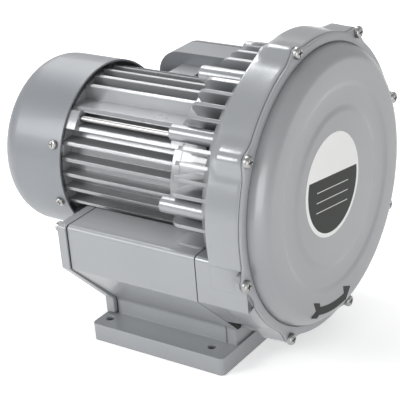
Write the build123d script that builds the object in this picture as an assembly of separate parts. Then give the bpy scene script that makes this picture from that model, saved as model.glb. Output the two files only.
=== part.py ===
from build123d import *
import os
from math import asin, cos, degrees, hypot, radians, sin, sqrt

# Side channel blower: a pump casing with its dished cover, a finned motor behind it, and a silencer
# base with a mounting foot below. X runs along the shaft, from the fan cowl (-) to the cover (+).
# The origin is the middle of the four foot holes, on the base plane; +Z is up. Millimetres.
# The radii build outwards from the motor's bore, and the heights hang from the shaft's height.

# ---------------------------------------------------------------- overall
shaft_height = 140.0
cover_face_x = 118.0            # front face of the cover's flange
drum_rear_x = 30.0              # rear face of the casing's drum, where the motor frame is bolted on
shell_wall = 5.0

# ---------------------------------------------------------------- motor
frame_bore_radius = 52.0
frame_wall = 5.0
frame_rear_x = -88.0
fin_height = 11.3               # from the frame's wall to the round of the fin tips
fin_pitch = 12.8
fin_pairs = 2                   # on each side of the middle fin, above, below, left and right
fin_thickness = 3.0
fin_end_gap = 8.5               # from the fins to the drum
frame_flange_thickness = 8.0
frame_flange_step = 1.7         # beyond the fin tips
spigot_length = 4.0
spigot_wall = 3.0
spigot_clearance = 0.1
tie_bolt_offset = 9.44          # from the frame's wall to the bolt's axis
tie_bolt_angle = 41.2
tie_bolt_engagement = 8.0
lug_size = 12.5
lug_length = 12.0
lug_step = 3.0                  # beyond the fin tips
casing_lug_step = 4.0           # beyond the drum
stator_front_x = -2.0
stator_length = 64.0
stator_bore_radius = 30.4
winding_overhang = 16.0
winding_frame_gap = 3.0
winding_inner_radius = 34.5
winding_ring_radius = 3.0
air_gap = 0.4
end_ring_length = 10.0
end_ring_radius = 28.0

# shaft, from the nut end to the fan end
shaft_core_radius = 12.0
impeller_seat_radius = 8.0
thread_radius = 6.0
thread_length = 14.0
fan_seat_radius = 6.0
fan_seat_overhang = 10.0
key_width = 5.0
key_height = 5.0
key_length = 16.0
key_inset = 3.0

# bearings: deep groove, front 17 x 40 x 12, rear 15 x 35 x 11
front_bearing_bore_radius = 8.5
front_bearing_outer_radius = 20.0
front_bearing_width = 12.0
front_bearing_ball_radius = 3.4
rear_bearing_bore_radius = 7.5
rear_bearing_outer_radius = 17.5
rear_bearing_width = 11.0
rear_bearing_ball_radius = 3.0
ball_count = 8
ball_clearance = 0.03
bearing_shoulder = 4.0
seal_outer_radius = 15.0
seal_width = 7.0
seal_clearance = 0.05
seal_wall = 2.5
seal_recess = 2.0               # behind the chamber's back wall
wave_spring_length = 2.0
wave_spring_width = 3.2

# rear shield, fan and cowl
shield_thickness = 9.0
shield_step = 2.3               # inside the fin tips
shield_boss_wall = 6.0
shield_web = 3.0                # behind the rear bearing
fan_gap = 8.0
fan_disc_thickness = 2.4
fan_cowl_gap = 10.7             # from the fan's tips to the cowl
fan_width = 30.0
fan_hub_radius = 13.0
fan_hub_length = 24.0
fan_blade_count = 8
fan_blade_thickness = 2.6
fan_clip_thickness = 1.2
fan_clip_depth = 0.8
fan_clip_wall = 4.0
fan_clip_gap = 5.0
cowl_step = 5.0                 # beyond the fin tips
cowl_wall = 1.6
cowl_front_x = -86.0
cowl_length = 68.0
cowl_corner_radius = 20.0
cowl_screw_angles = [20, 160, 200, 340]
cowl_lug_width = 12.0
grille_first_radius = 16.0
grille_ring_pitch = 9.0
grille_ring_count = 4
grille_slot_width = 4.6
grille_slots_per_ring = 6
grille_bridge = 5.0

# ---------------------------------------------------------------- pump casing and cover
drum_step = 3.7                 # from the fin tips to the drum
channel_land = 1.0              # from the drum to the side channel
channel_width = 34.0
rear_channel_depth = 13.0
front_channel_depth = 12.0
chamber_depth = 20.4            # from the casing's front face to its back wall
cover_recess_depth = 5.5
nut_pocket_depth = 15.0
seal_land_width = 7.0
seal_backing = 7.0              # wall behind the chamber that carries the shaft seal
dome_wall = 4.0
cover_flange_thickness = 9.0
cover_gasket_thickness = 0.8
casing_ring_length = 20.2
cover_rim_land = 9.5            # from the chamber to the cover's rim
casing_ring_step = 2.0          # the casing's ring stands this far beyond the cover's rim
gasket_inset = 0.5
dome_land = 1.0                 # from the chamber to the dome's shoulder
dome_height = 13.0
dome_shoulder_radius = 6.5
dome_groove_width = 2.2
dome_groove_depth = 2.6
face_ring_inner_radius = 62.5
face_ring_outer_radius = 81.0
face_ring_depth = 1.5
face_ring_slope = 4.0
face_ring_blend = 3.0
rim_chamfer = 0.8

ear_count = 8
ear_first_angle = 15.0
ear_offset = 3.7                # screw circle beyond the cover's rim
ear_radius = 8.4
ear_blend_radius = 6.0
lobe_inset = 2.6                # the casing's lobes stand this far inside the screw circle
lobe_radius = 8.4
lobe_blend_radius = 18.0

# impeller
impeller_clearance = 1.5
impeller_side_gap = 0.6
blade_count = 32
blade_thickness = 2.2
blade_web_thickness = 3.0
impeller_rim_wall = 4.5
impeller_hub_radius = 24.0
impeller_hub_length = 20.0
impeller_disc_thickness = 7.0

# ribs and pillars between the drum and the casing's ring
rib_rear_x = 43.0
rib_setback = 14.0              # inside the cover's rim
rib_thickness = 3.0
rib_rear_corner_radius = 10.0
pillar_setback = 22.0
pillar_radius = 6.5
pillar_rear_x = 33.5
pillar_end_radius = 1.5
pillar_angles = [90 - 85, 90 - 52, 90 - 19, 90 + 19, 90 + 52, 90 + 85]
ribs_between_pillars = 4
ribs_below_pillars = 1
hub_wall = 9.0                  # round the front bearing
hub_rear_x = 49.0
bearing_floor = 2.0

# ---------------------------------------------------------------- base: silencer housing on a foot
trough_clearance = 8.7          # from the fin tips to the base's trough
trough_wall = 3.73              # between the trough and each silencer bore
silencer_radius = 19.0
silencer_wall = 6.0
silencer_end_gap = 4.5
duct_drop = 45.0                # of the ducts below the shaft
duct_radius = 13.0
port_radius = 15.15             # tapping size of a 1 inch pipe thread
box_side_wall = 4.0             # beside each silencer bore
box_top_drop = 21.0             # of the box's flat top below the shaft
box_bottom_drop = 59.0          # of the box's lower edge below the shaft
box_edge_radius = 3.5
pedestal_half_width = 61.0
pedestal_front_x = 67.5
pedestal_seam_x = 58.0
seam_width = 1.0
seam_depth = 1.0
foot_thickness = 15.3
foot_half_width = 85.3
foot_rear_x = -60.8
foot_front_x = 69.6
foot_corner_radius = 4.0
foot_hole_spacing_x = 102.4
foot_hole_spacing_y = 144.6
foot_hole_radius = 3.5
base_rear_x = -51.0
base_gasket_thickness = 0.8
end_plate_thickness = 8.0
end_plate_step = 1.5            # beyond the box's sides
end_plate_leg_half_width = 65.0
end_plate_leg_top_z = 31.0
end_plate_gap = 1.5             # above the foot
end_gasket_thickness = 1.0
core_side_wall = 16.0           # between the pedestal's sides and the hollow under the base
core_end_wall = 9.0
core_roof = 11.0
core_corner_radius = 8.0
casing_leg_front_x = 84.0
casing_leg_inset = 3.0          # inside the pedestal's sides
casing_box_rise = 16.0          # of the casing's share of the box, above the pedestal
duct_block_step = 4.0           # the duct block meets the drum this far behind the ring
pad_height = 1.6
pad_length = 26.0
pad_width = 21.0
pad_inset = 22.5                # from the box's side to the pad's middle
pad_corner_radius = 5.0
upper_base_screw_inset = 5.5
upper_base_screw_drop = 5.0
lower_base_screw_inset = 9.0
lower_base_screw_z = 40.0
base_screw_engagement = 10.0

# ---------------------------------------------------------------- terminal and capacitor box
box_rear_x = -77.0
box_length = 76.0
box_frame_gap = 4.0             # from the frame's wall to the box
box_depth = 36.0
box_floor_rise = 29.0           # above the shaft
box_height = 39.0
terminal_wall = 2.6
terminal_corner_radius = 22.0
terminal_small_radius = 5.0
lid_thickness = 6.0
lid_edge_radius = 4.0
lid_gasket_thickness = 1.0
lid_post_wall = 2.5
lid_screw_inset = 9.0
lid_corner_screw_inset = 12.5
gasket_width = 5.5
saddle_length = 26.0            # the frame's pad that carries the box
saddle_height = 24.0
saddle_rise = 4.0               # above the box's floor
wire_hole_radius = 6.0
capacitor_radius = 11.0
capacitor_length = 38.0
capacitor_shift = 1.0
capacitor_gap = 1.5
capacitor_end_radius = 1.5
capacitor_tab_length = 4.0
capacitor_tab_thickness = 0.8
capacitor_tab_width = 6.0
capacitor_tab_offset = 4.0
capacitor_clip_wall = 1.2
capacitor_clip_length = 12.0
capacitor_clip_shift = 13.0
capacitor_clip_half_width = 5.0
terminal_block_length = 26.0
terminal_block_width = 14.0
terminal_block_height = 7.5
terminal_block_inset = 12.0
terminal_block_shift = -4.0
terminal_count = 3
terminal_pitch = 8.5
terminal_pocket = 5.6
terminal_pocket_depth = 3.0
terminal_screw_radius = 2.0
gland_radius = 9.0
gland_thread_step = 2.5
gland_bore_radius = 4.5
gland_nut_length = 11.0
gland_flange_length = 4.0
gland_thread_length = 6.0
gland_inner_length = 4.0
gland_inset_x = 25.0
gland_inset_y = 18.0

# screws: thread radius, head radius, head height
m4 = (2.0, 3.8, 2.8)
m5 = (2.5, 4.75, 3.6)
m5_cap = (2.5, 4.25, 5.0)
cover_screw_length = 20.0
cover_hole_depth = 12.2
lid_screw_length = 14.0
cowl_screw_length = 8.0
hole_clearance = 0.25
nut_height = 10.0
nut_across_flats = 18.0
washer_thickness = 2.5
washer_radius = 12.0

# ---------------------------------------------------------------- places that follow from the sizes
# radii, from the motor's bore outwards
frame_wall_radius = frame_bore_radius + frame_wall
fin_tip_radius = frame_wall_radius + fin_height
frame_flange_radius = fin_tip_radius + frame_flange_step
lug_reach = fin_tip_radius + lug_step
shield_radius = fin_tip_radius - shield_step
cowl_radius = fin_tip_radius + cowl_step
fan_radius = cowl_radius - cowl_wall - fan_cowl_gap
drum_radius = fin_tip_radius + drum_step
casing_lug_reach = drum_radius + casing_lug_step
channel_inner_radius = drum_radius + channel_land
impeller_radius = channel_inner_radius + channel_width
channel_mid_radius = (channel_inner_radius + impeller_radius) / 2
chamber_radius = impeller_radius + impeller_clearance
dome_radius = chamber_radius + dome_land
flange_radius = chamber_radius + cover_rim_land
casing_ring_radius = flange_radius + casing_ring_step
ear_pitch_radius = flange_radius + ear_offset
rib_outer_radius = flange_radius - rib_setback
pillar_pitch_radius = flange_radius - pillar_setback
hub_outer_radius = front_bearing_outer_radius + hub_wall
winding_outer_radius = frame_bore_radius - winding_frame_gap
trough_radius = fin_tip_radius + trough_clearance
grille_rings = [grille_first_radius + k * grille_ring_pitch for k in range(grille_ring_count)]

# along the shaft
cover_back_x = cover_face_x - cover_flange_thickness
casing_front_x = cover_back_x - cover_gasket_thickness
casing_ring_rear_x = casing_front_x - casing_ring_length
chamber_back_x = casing_front_x - chamber_depth
block_rear_x = chamber_back_x - rear_channel_depth - dome_wall
base_front_x = block_rear_x - base_gasket_thickness
recess_front_x = cover_back_x + cover_recess_depth
dome_x = cover_face_x + dome_height
impeller_rear_x = chamber_back_x + impeller_side_gap
impeller_front_x = recess_front_x - impeller_side_gap
impeller_mid_x = (impeller_rear_x + impeller_front_x) / 2
hub_front_x = impeller_rear_x + impeller_hub_length
nut_rear_x = hub_front_x + washer_thickness
fin_front_x = drum_rear_x - fin_end_gap
front_bearing_rear_x = hub_rear_x + bearing_floor
front_bearing_front_x = front_bearing_rear_x + front_bearing_width
seal_front_x = chamber_back_x - seal_recess
seal_rear_x = seal_front_x - seal_width
shield_rear_x = frame_rear_x - shield_thickness
rear_bearing_rear_x = shield_rear_x + shield_web + wave_spring_length
rear_bearing_front_x = rear_bearing_rear_x + rear_bearing_width
shield_mid_x = (shield_rear_x + frame_rear_x - 1) / 2
stator_rear_x = stator_front_x - stator_length
cowl_rear_x = cowl_front_x - cowl_length
fan_front_x = shield_rear_x - fan_gap
fan_hub_rear_x = fan_front_x - fan_hub_length
shaft_rear_x = fan_hub_rear_x - fan_seat_overhang
end_gasket_rear_x = base_rear_x - end_gasket_thickness
end_plate_rear_x = end_gasket_rear_x - end_plate_thickness
silencer_rear_x = base_rear_x + silencer_end_gap
silencer_front_x = base_front_x - silencer_end_gap

# heights and widths of the base
duct_z = shaft_height - duct_drop
box_top_z = shaft_height - box_top_drop
box_bottom_z = shaft_height - box_bottom_drop
duct_y = sqrt((trough_radius + trough_wall + silencer_radius) ** 2 - duct_drop**2)
duct_angle = degrees(asin(duct_drop / hypot(duct_y, duct_drop)))
box_half_width = duct_y + silencer_radius + box_side_wall
chamfer_z = box_bottom_z - (box_half_width - pedestal_half_width)
core_half_width = pedestal_half_width - core_side_wall
core_height = shaft_height - trough_radius - core_roof
casing_leg_half_width = pedestal_half_width - casing_leg_inset
casing_box_bottom_z = chamfer_z + casing_box_rise

# terminal box
box_inner_y = frame_wall_radius + box_frame_gap
box_outer_y = box_inner_y + box_depth
lid_back_y = box_outer_y - lid_thickness
box_open_y = lid_back_y - lid_gasket_thickness
box_front_x = box_rear_x + box_length
box_mid_x = box_rear_x + box_length / 2
box_floor_z = shaft_height + box_floor_rise
box_roof_z = box_floor_z + box_height
saddle_z = box_floor_z + saddle_rise
gland_x = box_rear_x + gland_inset_x
gland_y = box_inner_y + gland_inset_y
gland_thread = gland_radius - gland_thread_step
capacitor_y = box_inner_y + terminal_wall + capacitor_gap + capacitor_radius
capacitor_z = box_roof_z - terminal_wall - capacitor_gap - capacitor_radius - 1.0
lid_post_radius = m4[0] + lid_post_wall
lid_screw_places = [
    (box_rear_x + lid_screw_inset, box_floor_z + lid_screw_inset),
    (box_front_x - lid_screw_inset, box_floor_z + lid_screw_inset),
    (box_front_x - lid_screw_inset, box_roof_z - lid_screw_inset),
    (box_rear_x + lid_corner_screw_inset, box_roof_z - lid_corner_screw_inset),
]

# screw and hole patterns
tie_bolt_y = (frame_wall_radius + tie_bolt_offset) * cos(radians(tie_bolt_angle))
tie_bolt_z = (frame_wall_radius + tie_bolt_offset) * sin(radians(tie_bolt_angle))
tie_bolt_places = [(sy * tie_bolt_y, sz * tie_bolt_z) for sy in (-1, 1) for sz in (-1, 1)]
plate_heights = [tie_bolt_z - lug_size / 2, tie_bolt_z + lug_size / 2]
base_screw_places = [
    (side * y, z)
    for side in (-1, 1)
    for y, z in (
        (box_half_width - upper_base_screw_inset, box_top_z - upper_base_screw_drop),
        (pedestal_half_width - lower_base_screw_inset, lower_base_screw_z),
    )
]
foot_hole_places = [
    (sx * foot_hole_spacing_x / 2, sy * foot_hole_spacing_y / 2) for sx in (-1, 1) for sy in (-1, 1)
]
ear_angles = [ear_first_angle + k * 360 / ear_count for k in range(ear_count)]
ear_places = [(ear_pitch_radius * cos(radians(a)), ear_pitch_radius * sin(radians(a))) for a in ear_angles]
shaft_axis = Axis((0, 0, shaft_height), (1, 0, 0))
turning_plane = Plane(origin=(0, 0, shaft_height), x_dir=(1, 0, 0), z_dir=(0, -1, 0))


# ---------------------------------------------------------------- helpers
def rod(x0, x1, radius, y=0.0, z=0.0):
    """Cylinder along X between x0 and x1, with y and z measured from the shaft axis."""
    return (
        Pos(x0, y, shaft_height + z)
        * Rot(0, 90, 0)
        * Cylinder(radius, x1 - x0, align=(Align.CENTER, Align.CENTER, Align.MIN))
    )


def block(x0, x1, y0, y1, z0, z1):
    """Box between two corners, in the row's own frame."""
    return Pos((x0 + x1) / 2, (y0 + y1) / 2, (z0 + z1) / 2) * Box(x1 - x0, y1 - y0, z1 - z0)


def turned(points, radii=0, sweep=360.0, start=90.0):
    """Solid turned about the shaft from (x, radius) points; start and sweep are angles from +Y."""
    line = FilletPolyline(*points, radius=radii, close=True) if radii else Polyline(*points, close=True)
    face = turning_plane * make_face(line)
    return revolve(face.rotate(shaft_axis, start - 90.0), shaft_axis, sweep)


def across(x0, x1, outline):
    """Extrude a sketch drawn in (y, z) from x0 to x1."""
    return extrude(Plane.YZ.offset(x0) * outline, x1 - x0)


def around_shaft(shape, angle):
    return shape.rotate(shaft_axis, angle)


def channel_cut(edge_x, depth, sweep, start):
    """Rounded side channel cut into a wall whose face is at edge_x; depth < 0 cuts towards -X."""
    rim = Line((edge_x, impeller_radius), (edge_x, channel_inner_radius))
    bowl = ThreePointArc(
        (edge_x, channel_inner_radius), (edge_x + depth, channel_mid_radius), (edge_x, impeller_radius)
    )
    face = turning_plane * make_face([rim, bowl])
    return revolve(face.rotate(shaft_axis, start - 90.0), shaft_axis, sweep)


def post_y(x, z, y0, y1, radius):
    """Cylinder along Y between y0 and y1."""
    return Pos(x, y0, z) * Rot(-90, 0, 0) * Cylinder(
        radius, y1 - y0, align=(Align.CENTER, Align.CENTER, Align.MIN)
    )


def upright(x, y, z0, z1, radius):
    """Cylinder along Z between z0 and z1."""
    return Pos(x, y, z0) * Cylinder(radius, z1 - z0, align=(Align.CENTER, Align.CENTER, Align.MIN))


def hexagon(across_flats):
    return RegularPolygon(across_flats / 2, 6, major_radius=False)


def pan_screw(size, length):
    """Pan-head screw standing on z = 0, its shank below, with a cross recess."""
    thread, head, height = size
    shank = Cylinder(thread, length, align=(Align.CENTER, Align.CENTER, Align.MAX))
    cap = Cylinder(head, height, align=(Align.CENTER, Align.CENTER, Align.MIN))
    cap = fillet(cap.edges().group_by(Axis.Z)[-1], height * 0.55)
    slot = Pos(0, 0, height) * Box(head * 1.15, head * 0.24, height * 1.1)
    return cap + shank - slot - slot.rotate(Axis.Z, 90)


def cap_screw(size, length):
    """Socket-head cap screw standing on z = 0, its shank below."""
    thread, head, height = size
    shank = Cylinder(thread, length, align=(Align.CENTER, Align.CENTER, Align.MAX))
    cap = Cylinder(head, height, align=(Align.CENTER, Align.CENTER, Align.MIN))
    cap = chamfer(cap.edges().group_by(Axis.Z)[-1], height * 0.1)
    socket = Pos(0, 0, height) * extrude(hexagon(thread * 1.6), -height * 0.55)
    return cap + shank - socket


def facing_front(shape, x, y, z):
    """Turn a screw so that its head faces +X, and seat it at x."""
    return Pos(x, y, shaft_height + z) * Rot(0, 90, 0) * shape


def facing_rear(shape, x, y, z):
    """Turn a screw so that its head faces -X, and seat it at x."""
    return Pos(x, y, shaft_height + z) * Rot(0, -90, 0) * shape


def save(name, *shapes):
    solids = [s for shape in shapes for s in shape.solids()]
    body = solids[0] if len(solids) == 1 else Compound(children=solids)
    export_step(body, f"parts/{name}.step")


# ---------------------------------------------------------------- pump
def flange_outline(radius, pitch_radius, lobe, blend):
    """Round flange with a lobe at each cover screw, blended into the rim, about the shaft axis."""
    outline = Circle(radius)
    for angle in ear_angles:
        outline += Rot(0, 0, angle) * Pos(pitch_radius, 0) * Circle(lobe)
    inside_corners = [v for v in outline.vertices() if abs(hypot(v.X, v.Y) - radius) < 0.01]
    return Pos(0, shaft_height) * fillet(inside_corners, blend)


def cover_outline():
    return flange_outline(flange_radius, ear_pitch_radius, ear_radius, ear_blend_radius)


def casing_outline(inset):
    return flange_outline(
        casing_ring_radius - inset, ear_pitch_radius - lobe_inset, lobe_radius - inset, lobe_blend_radius
    )


def front_cover():
    outer = turned(
        [
            (cover_back_x, 0),
            (cover_back_x, flange_radius - 1),
            (cover_face_x, flange_radius - 1),
            (cover_face_x, dome_radius),
            (dome_x, dome_radius),
            (dome_x, face_ring_outer_radius + face_ring_slope / 2),
            (dome_x - face_ring_depth, face_ring_outer_radius - face_ring_slope / 2),
            (dome_x - face_ring_depth, face_ring_inner_radius + face_ring_slope / 2),
            (dome_x, face_ring_inner_radius - face_ring_slope / 2),
            (dome_x, 0),
        ],
        [0, 0, 0, 0, dome_shoulder_radius, *[face_ring_blend] * 4, 0],
    )
    rim = across(cover_back_x, cover_face_x, cover_outline())
    outer += chamfer(rim.edges().group_by(Axis.X)[-1], rim_chamfer)
    groove_outer = dome_radius + dome_groove_width
    groove = rod(cover_face_x - dome_groove_depth, cover_face_x, groove_outer) - rod(
        cover_face_x - dome_groove_depth, cover_face_x, dome_radius
    )
    cavity = rod(cover_back_x, recess_front_x, chamber_radius)
    pocket = rod(recess_front_x, cover_back_x + nut_pocket_depth, channel_inner_radius - seal_land_width)
    channel = channel_cut(recess_front_x, front_channel_depth, 180 + 2 * duct_angle, -duct_angle)
    body = outer - groove - cavity - pocket - channel
    for y, z in ear_places:
        body -= rod(cover_back_x, cover_face_x, m5[0] + hole_clearance, y, z)
    return body


def cover_gasket():
    ring = across(casing_front_x, cover_back_x, casing_outline(gasket_inset))
    ring -= rod(casing_front_x, cover_back_x, chamber_radius)
    for y, z in ear_places:
        ring -= rod(casing_front_x, cover_back_x, m5[0] + hole_clearance, y, z)
    return ring


def base_outline(edge_radius):
    """T-shaped cross-section above the foot: wide box, chamfered underside and pedestal."""
    half = [
        (pedestal_half_width, foot_thickness),
        (pedestal_half_width, chamfer_z),
        (box_half_width, box_bottom_z),
        (box_half_width, box_top_z),
    ]
    points = half + [(-y, z) for y, z in reversed(half)]
    radii = [0, edge_radius * 2, edge_radius, edge_radius]
    return make_face(FilletPolyline(*points, radius=radii + radii[::-1], close=True))


def cooling_ribs():
    root = drum_radius - shell_wall / 2
    plan = Polyline(
        (rib_rear_x, root),
        (rib_rear_x, rib_outer_radius),
        (casing_ring_rear_x + 1, rib_outer_radius),
        (casing_ring_rear_x + 1, root),
        close=True,
    )
    plan = make_face(plan)
    corner = plan.vertices().sort_by(Axis.X)[:2].sort_by(Axis.Y)[-1]
    plan = fillet(corner, rib_rear_corner_radius)
    rib = extrude(turning_plane * plan, rib_thickness / 2, both=True)
    pitch = (pillar_angles[1] - pillar_angles[0]) / (ribs_between_pillars + 1)
    angles = [pillar_angles[0] - pitch * k for k in range(1, ribs_below_pillars + 1)]
    angles += [180 - a for a in angles]
    for low, high in zip(pillar_angles, pillar_angles[1:]):
        step = (high - low) / (ribs_between_pillars + 1)
        angles += [low + step * k for k in range(1, ribs_between_pillars + 1)]
    return [around_shaft(rib, a - 90) for a in angles]


def pillars():
    made = []
    for angle in pillar_angles:
        y = pillar_pitch_radius * cos(radians(angle))
        z = pillar_pitch_radius * sin(radians(angle))
        post = rod(pillar_rear_x, casing_ring_rear_x + 1, pillar_radius, y, z)
        post = fillet(post.edges().group_by(Axis.X)[0], pillar_end_radius)
        web = block(
            rib_rear_x,
            casing_ring_rear_x + 1,
            -rib_thickness / 2,
            rib_thickness / 2,
            shaft_height + drum_radius - shell_wall / 2,
            shaft_height + pillar_pitch_radius,
        )
        made += [post, around_shaft(web, angle - 90)]
    return made


def pump_casing():
    chamber_wall_radius = chamber_radius + dome_wall
    body = turned(
        [
            (drum_rear_x, drum_radius - shell_wall),
            (drum_rear_x, drum_radius),
            (block_rear_x, drum_radius),
            (block_rear_x, (channel_mid_radius + impeller_radius) / 2 + 1.5),
            (casing_ring_rear_x, chamber_wall_radius),
            (casing_ring_rear_x, casing_ring_radius - 2),
            (casing_front_x, casing_ring_radius - 2),
            (casing_front_x, 0),
            (chamber_back_x - seal_backing, 0),
            (chamber_back_x - seal_backing, channel_inner_radius - 12),
            (block_rear_x, drum_radius - shell_wall),
        ],
        [0, 1.0, 0, 6.0, 0, 0, 0, 0, 0, 0, 0],
    )
    body += rod(hub_rear_x, chamber_back_x - 1, hub_outer_radius)
    ring = across(casing_ring_rear_x, casing_front_x, casing_outline(0))
    body += chamfer(ring.edges().group_by(Axis.X)[0], rim_chamfer)
    body += cooling_ribs() + pillars()
    body += duct_block()
    body += [lug(drum_rear_x + lug_length, sy, sz, casing_lug_reach) for sy in (-1, 1) for sz in (-1, 1)]
    body -= rod(chamber_back_x, casing_front_x, chamber_radius)
    body -= channel_cut(chamber_back_x, -rear_channel_depth, 180 + 2 * duct_angle, -duct_angle)
    for side in (-1, 1):
        body -= rod(block_rear_x, chamber_back_x + 1, duct_radius, side * duct_y, -duct_drop)
    body -= rod(hub_rear_x, front_bearing_front_x, front_bearing_outer_radius)
    body -= rod(front_bearing_front_x, seal_rear_x, front_bearing_outer_radius - bearing_shoulder)
    body -= rod(seal_rear_x, chamber_back_x, seal_outer_radius)
    for y, z in ear_places:
        body -= rod(casing_front_x - cover_hole_depth, casing_front_x, m5[0], y, z)
    for y, z in tie_bolt_places:
        body -= rod(drum_rear_x, drum_rear_x + 2 * lug_length, m5[0], y, z)
    for y, z in base_screw_places:
        body -= rod(block_rear_x, block_rear_x + base_screw_engagement + 1, m5[0], y, z - shaft_height)
    return body


def duct_block():
    """The casing's share of the base: the box's section up to the ring, and a narrower leg behind it."""
    section = base_outline(box_edge_radius)
    box = across(block_rear_x, casing_front_x, section)
    box -= block(block_rear_x, casing_front_x, -box_half_width, box_half_width, 0, casing_box_bottom_z)
    leg = block(
        block_rear_x, casing_leg_front_x, -casing_leg_half_width, casing_leg_half_width,
        chamfer_z + 1, casing_box_bottom_z,
    )
    meeting_x = casing_ring_rear_x - duct_block_step
    behind_ring = rod(block_rear_x, meeting_x, drum_radius)
    inside_ring = rod(meeting_x, casing_front_x, casing_ring_radius - 3)
    return (box + leg) - behind_ring - inside_ring


def impeller():
    hub = rod(impeller_rear_x, hub_front_x, impeller_hub_radius)
    disc = rod(
        impeller_mid_x - impeller_disc_thickness / 2,
        impeller_mid_x + impeller_disc_thickness / 2,
        channel_inner_radius - 1,
    )
    rim = rod(impeller_rear_x, impeller_front_x, channel_inner_radius - 1) - rod(
        impeller_rear_x, impeller_front_x, channel_inner_radius - 1 - impeller_rim_wall
    )
    web = rod(
        impeller_mid_x - blade_web_thickness / 2, impeller_mid_x + blade_web_thickness / 2, impeller_radius
    )
    blade = block(
        impeller_rear_x,
        impeller_front_x,
        -blade_thickness / 2,
        blade_thickness / 2,
        shaft_height + channel_inner_radius - 2,
        shaft_height + sqrt(impeller_radius**2 - blade_thickness**2),
    )
    blades = [around_shaft(blade, k * 360 / blade_count) for k in range(blade_count)]
    body = hub + disc + rim + web + blades
    body -= rod(impeller_rear_x, hub_front_x, impeller_seat_radius)
    keyway = block(
        impeller_rear_x,
        hub_front_x,
        -key_width / 2,
        key_width / 2,
        shaft_height,
        shaft_height + impeller_seat_radius + key_height / 2,
    )
    return body - keyway


def impeller_key():
    return block(
        impeller_rear_x + key_inset,
        impeller_rear_x + key_inset + key_length,
        -key_width / 2,
        key_width / 2,
        shaft_height + impeller_seat_radius - key_height / 2,
        shaft_height + impeller_seat_radius + key_height / 2,
    )


def impeller_washer():
    return rod(hub_front_x, nut_rear_x, washer_radius) - rod(hub_front_x, nut_rear_x, thread_radius)


def impeller_nut():
    nut = across(nut_rear_x, nut_rear_x + nut_height, Pos(0, shaft_height) * hexagon(nut_across_flats))
    return nut - rod(nut_rear_x, nut_rear_x + nut_height, thread_radius)


# ---------------------------------------------------------------- motor
def lug(x0, side_y, side_z, reach):
    """Block in a diagonal bolt channel that a tie bolt passes through, out to the radius reach."""
    half = lug_size / 2
    ends = sorted((side_y * (tie_bolt_y - half), side_y * reach))
    z = shaft_height + side_z * tie_bolt_z
    return block(x0, x0 + lug_length, *ends, z - half, z + half) & rod(x0, x0 + lug_length, reach)


def motor_frame():
    body = rod(frame_rear_x, drum_rear_x, frame_wall_radius)
    envelope = rod(frame_rear_x, fin_front_x, fin_tip_radius)
    reach = fin_tip_radius + 1
    half = fin_thickness / 2
    heights = [k * fin_pitch for k in range(-fin_pairs, fin_pairs + 1)]
    fins = [
        block(frame_rear_x, fin_front_x, y - half, y + half, shaft_height - reach, shaft_height + reach)
        for y in heights
    ]
    for height in heights + plate_heights + [-h for h in plate_heights]:
        z = shaft_height + height
        fins.append(block(frame_rear_x, fin_front_x, -reach, reach, z - half, z + half))
    body += [fin & envelope for fin in fins]
    body += rod(drum_rear_x - frame_flange_thickness, drum_rear_x, frame_flange_radius)
    spigot_radius = drum_radius - shell_wall - spigot_clearance
    body += rod(drum_rear_x, drum_rear_x + spigot_length, spigot_radius)
    for sy in (-1, 1):
        for sz in (-1, 1):
            body += lug(frame_rear_x, sy, sz, lug_reach) + lug(drum_rear_x - lug_length, sy, sz, lug_reach)
    body += block(
        box_mid_x - saddle_length / 2, box_mid_x + saddle_length / 2,
        frame_wall_radius * 0.6, box_inner_y, saddle_z, saddle_z + saddle_height,
    )
    body -= rod(frame_rear_x, drum_rear_x + spigot_length, frame_bore_radius)
    for y, z in tie_bolt_places:
        body -= rod(frame_rear_x, drum_rear_x + spigot_length, m5[0] + hole_clearance, y, z)
    inside_y = frame_bore_radius * 0.5
    return body - post_y(box_mid_x, saddle_z + saddle_height / 2, inside_y, box_inner_y, wire_hole_radius)


def stator_core():
    return rod(stator_rear_x, stator_front_x, frame_bore_radius) - rod(
        stator_rear_x, stator_front_x, stator_bore_radius
    )


def winding(x0, x1):
    ring = turned(
        [
            (x0, winding_inner_radius),
            (x0, winding_outer_radius),
            (x1, winding_outer_radius),
            (x1, winding_inner_radius),
        ],
        winding_ring_radius,
    )
    return ring


def rotor_core():
    radius = stator_bore_radius - air_gap
    body = rod(stator_rear_x, stator_front_x, radius)
    body += rod(stator_rear_x - end_ring_length, stator_rear_x, end_ring_radius)
    body += rod(stator_front_x, stator_front_x + end_ring_length, end_ring_radius)
    return body - rod(
        stator_rear_x - end_ring_length, stator_front_x + end_ring_length, shaft_core_radius
    )


def shaft():
    body = rod(rear_bearing_front_x, front_bearing_rear_x, shaft_core_radius)
    body += rod(front_bearing_rear_x, seal_front_x + 1, front_bearing_bore_radius)
    body += rod(seal_front_x + 1, hub_front_x, impeller_seat_radius)
    body += rod(hub_front_x, hub_front_x + thread_length, thread_radius)
    body += rod(rear_bearing_rear_x - 1, rear_bearing_front_x, rear_bearing_bore_radius)
    body += rod(shaft_rear_x, rear_bearing_rear_x - 1, fan_seat_radius)
    key_seat = block(
        impeller_rear_x + key_inset,
        impeller_rear_x + key_inset + key_length,
        -key_width / 2,
        key_width / 2,
        shaft_height + impeller_seat_radius - key_height / 2,
        shaft_height + impeller_seat_radius + key_height,
    )
    clip_seat = rod(fan_hub_rear_x - fan_clip_thickness, fan_hub_rear_x, fan_seat_radius) - rod(
        fan_hub_rear_x - fan_clip_thickness, fan_hub_rear_x, fan_seat_radius - fan_clip_depth
    )
    return body - key_seat - clip_seat


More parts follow.
